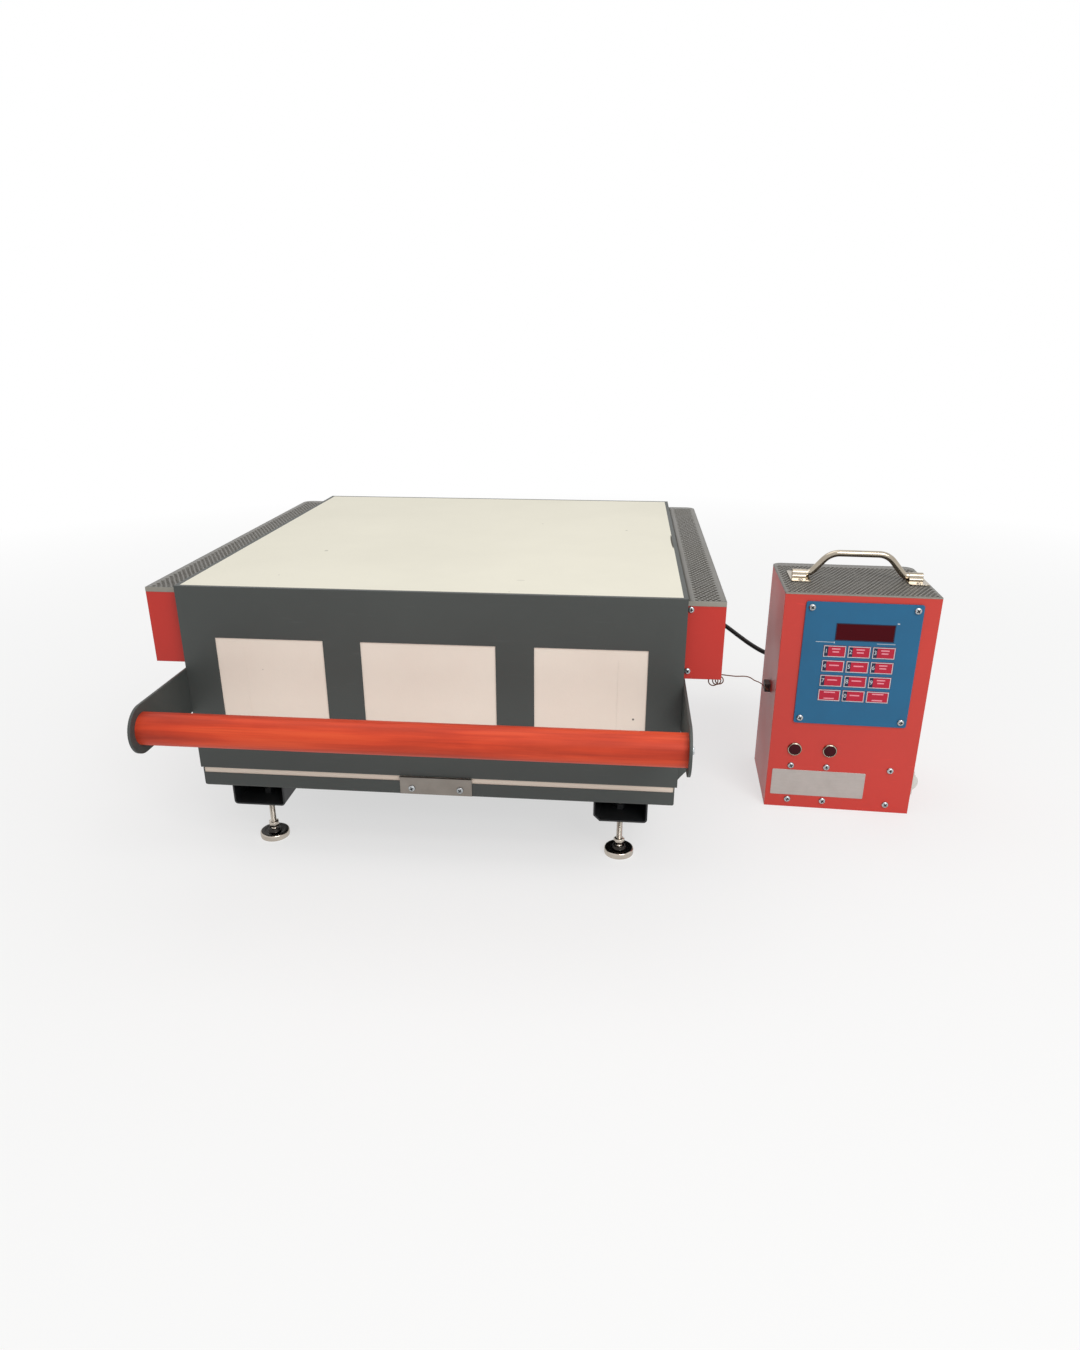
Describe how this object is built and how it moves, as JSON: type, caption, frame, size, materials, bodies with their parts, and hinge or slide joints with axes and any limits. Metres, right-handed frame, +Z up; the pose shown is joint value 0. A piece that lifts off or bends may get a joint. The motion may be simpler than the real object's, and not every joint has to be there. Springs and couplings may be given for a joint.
{
  "type": "glass kiln with controller",
  "caption": "Shallow square clamshell kiln with a fibre-lined lid, a wooden lift bar and levelling feet, wired to a free-standing keypad controller.",
  "frame": {"origin": "on the floor under the middle of the whole set's bounding box", "axes": "+Z up, +Y from the lift bar to the hinges, +X from the kiln to the controller"},
  "size_m": [1.0098, 0.7722, 0.366],
  "materials": {
    "grey_paint": "satin grey powder coat with fine scratches",
    "dark_paint": "dark satin powder coat, in shadow",
    "red_paint": "satin red powder coat",
    "mesh_paint": "perforated sheet with a grey coat",
    "fibre_board": "compressed white ceramic fibre, dull and slightly pitted",
    "galvanised": "galvanised sheet with faint spangle",
    "nickel": "nickel plate, lightly worn",
    "zinc_screw": "zinc-plated heads",
    "hinge_steel": "plain steel",
    "element_wire": "oxidised resistance wire",
    "probe_sheath": "unglazed ceramic",
    "handle_wood": "orange-red lacquer over visible grain",
    "faceplate_blue": "printed overlay, satin",
    "display_lens": "dark red translucent window",
    "key_crimson": "printed overlay with a thin white outline",
    "lamp_lens": "dark red translucent lens",
    "bright_chrome": "polished",
    "circuit_board": "solder resist",
    "relay_plastic": "moulded",
    "switch_plastic": "moulded, glossy",
    "black_rubber": "matt jacket",
    "lead_sleeve": "braided brown sleeve",
    "plug_plastic": "moulded"
  },
  "bodies": {
    "base": {"base_tray": "grey_paint", "hearth_board": "fibre_board", "front_plate": "galvanised", "left_rail": "dark_paint", "right_rail": "dark_paint", "base_hinge_leaves": "hinge_steel", "hinge_pins": "hinge_steel", "controller_box": "red_paint", "controller_cover": "mesh_paint", "faceplate": "faceplate_blue", "display_window": "display_lens", "control_board": "circuit_board", "power_gear": "relay_plastic", "lamp_bezels": "bright_chrome", "lamp_lenses": "lamp_lens", "panel_screws": "zinc_screw", "bail_plates": "bright_chrome", "switch_frame": "switch_plastic", "controller_gland": "relay_plastic", "thermocouple_plug": "plug_plastic", "thermocouple_coil": "lead_sleeve", "load_cord": "black_rubber", "thermocouple_lead": "lead_sleeve"},
    "lid": {"lid_front_panel": "grey_paint", "lid_rear_panel": "grey_paint", "lid_side_panels": "grey_paint", "roof_board": "fibre_board", "wall_boards": "fibre_board", "heating_elements": "element_wire", "thermocouple_probe": "probe_sheath", "left_terminal_box": "red_paint", "right_terminal_box": "red_paint", "terminal_box_covers": "mesh_paint", "handle_brackets": "grey_paint", "handle_bar": "handle_wood", "lid_screws": "zinc_screw", "lid_hinge_leaves": "hinge_steel", "lid_gland": "relay_plastic"},
    "front_left_rod": {"front_left_foot_rod": "nickel"},
    "front_left_pad": {"front_left_foot_pad": "nickel"},
    "front_right_rod": {"front_right_foot_rod": "nickel"},
    "front_right_pad": {"front_right_foot_pad": "nickel"},
    "rear_left_rod": {"rear_left_foot_rod": "nickel"},
    "rear_left_pad": {"rear_left_foot_pad": "nickel"},
    "rear_right_rod": {"rear_right_foot_rod": "nickel"},
    "rear_right_pad": {"rear_right_foot_pad": "nickel"},
    "bail": {"controller_bail": "bright_chrome"},
    "rocker": {"power_rocker": "switch_plastic"},
    "key_1_body": {"key_1": "key_crimson"},
    "key_2_body": {"key_2": "key_crimson"},
    "key_3_body": {"key_3": "key_crimson"},
    "key_4_body": {"key_4": "key_crimson"},
    "key_5_body": {"key_5": "key_crimson"},
    "key_6_body": {"key_6": "key_crimson"},
    "key_7_body": {"key_7": "key_crimson"},
    "key_8_body": {"key_8": "key_crimson"},
    "key_9_body": {"key_9": "key_crimson"},
    "key_left_body": {"key_left": "key_crimson"},
    "key_0_body": {"key_0": "key_crimson"},
    "key_right_body": {"key_right": "key_crimson"}
  },
  "joints": [
    {"name": "lid_hinge", "type": "hinge", "parent": "base", "child": "lid", "pos_m": [-0.15487, 0.38012, 0.1242], "axis": [-1, 0, 0], "range_deg": [0, 80]},
    {"name": "front_left_level", "type": "slide", "parent": "base", "child": "front_left_rod", "axis": [0, 0, 1], "range_m": [-0.014, 0.01]},
    {"name": "front_left_swivel", "type": "hinge", "parent": "front_left_rod", "child": "front_left_pad", "pos_m": [-0.39137, -0.19937, 0.0093], "axis": [1, 0, 0], "range_deg": [-12, 12]},
    {"name": "front_right_level", "type": "slide", "parent": "base", "child": "front_right_rod", "axis": [0, 0, 1], "range_m": [-0.014, 0.01]},
    {"name": "front_right_swivel", "type": "hinge", "parent": "front_right_rod", "child": "front_right_pad", "pos_m": [0.08163, -0.19937, 0.0093], "axis": [1, 0, 0], "range_deg": [-12, 12]},
    {"name": "rear_left_level", "type": "slide", "parent": "base", "child": "rear_left_rod", "axis": [0, 0, 1], "range_m": [-0.014, 0.01]},
    {"name": "rear_left_swivel", "type": "hinge", "parent": "rear_left_rod", "child": "rear_left_pad", "pos_m": [-0.39137, 0.32362, 0.0093], "axis": [1, 0, 0], "range_deg": [-12, 12]},
    {"name": "rear_right_level", "type": "slide", "parent": "base", "child": "rear_right_rod", "axis": [0, 0, 1], "range_m": [-0.014, 0.01]},
    {"name": "rear_right_swivel", "type": "hinge", "parent": "rear_right_rod", "child": "rear_right_pad", "pos_m": [0.08163, 0.32362, 0.0093], "axis": [1, 0, 0], "range_deg": [-12, 12]},
    {"name": "bail_hinge", "type": "hinge", "parent": "base", "child": "bail", "pos_m": [0.40355, 0.03003, 0.32915], "axis": [0.9993, -0.0384, 0], "range_deg": [-80, 80]},
    {"name": "rocker_tilt", "type": "hinge", "parent": "base", "child": "rocker", "pos_m": [0.49315, -0.04746, 0.048], "axis": [0.0384, 0.9993, 0], "range_deg": [0, 16]},
    {"name": "key_1_press", "type": "slide", "parent": "base", "child": "key_1_body", "axis": [0.0384, 0.9993, 0], "range_m": [0, 0.0005], "stiffness_N_per_m": 800, "springref_m": -0.0005},
    {"name": "key_2_press", "type": "slide", "parent": "base", "child": "key_2_body", "axis": [0.0384, 0.9993, 0], "range_m": [0, 0.0005], "stiffness_N_per_m": 800, "springref_m": -0.0005},
    {"name": "key_3_press", "type": "slide", "parent": "base", "child": "key_3_body", "axis": [0.0384, 0.9993, 0], "range_m": [0, 0.0005], "stiffness_N_per_m": 800, "springref_m": -0.0005},
    {"name": "key_4_press", "type": "slide", "parent": "base", "child": "key_4_body", "axis": [0.0384, 0.9993, 0], "range_m": [0, 0.0005], "stiffness_N_per_m": 800, "springref_m": -0.0005},
    {"name": "key_5_press", "type": "slide", "parent": "base", "child": "key_5_body", "axis": [0.0384, 0.9993, 0], "range_m": [0, 0.0005], "stiffness_N_per_m": 800, "springref_m": -0.0005},
    {"name": "key_6_press", "type": "slide", "parent": "base", "child": "key_6_body", "axis": [0.0384, 0.9993, 0], "range_m": [0, 0.0005], "stiffness_N_per_m": 800, "springref_m": -0.0005},
    {"name": "key_7_press", "type": "slide", "parent": "base", "child": "key_7_body", "axis": [0.0384, 0.9993, 0], "range_m": [0, 0.0005], "stiffness_N_per_m": 800, "springref_m": -0.0005},
    {"name": "key_8_press", "type": "slide", "parent": "base", "child": "key_8_body", "axis": [0.0384, 0.9993, 0], "range_m": [0, 0.0005], "stiffness_N_per_m": 800, "springref_m": -0.0005},
    {"name": "key_9_press", "type": "slide", "parent": "base", "child": "key_9_body", "axis": [0.0384, 0.9993, 0], "range_m": [0, 0.0005], "stiffness_N_per_m": 800, "springref_m": -0.0005},
    {"name": "key_left_press", "type": "slide", "parent": "base", "child": "key_left_body", "axis": [0.0384, 0.9993, 0], "range_m": [0, 0.0005], "stiffness_N_per_m": 800, "springref_m": -0.0005},
    {"name": "key_0_press", "type": "slide", "parent": "base", "child": "key_0_body", "axis": [0.0384, 0.9993, 0], "range_m": [0, 0.0005], "stiffness_N_per_m": 800, "springref_m": -0.0005},
    {"name": "key_right_press", "type": "slide", "parent": "base", "child": "key_right_body", "axis": [0.0384, 0.9993, 0], "range_m": [0, 0.0005], "stiffness_N_per_m": 800, "springref_m": -0.0005}
  ]
}
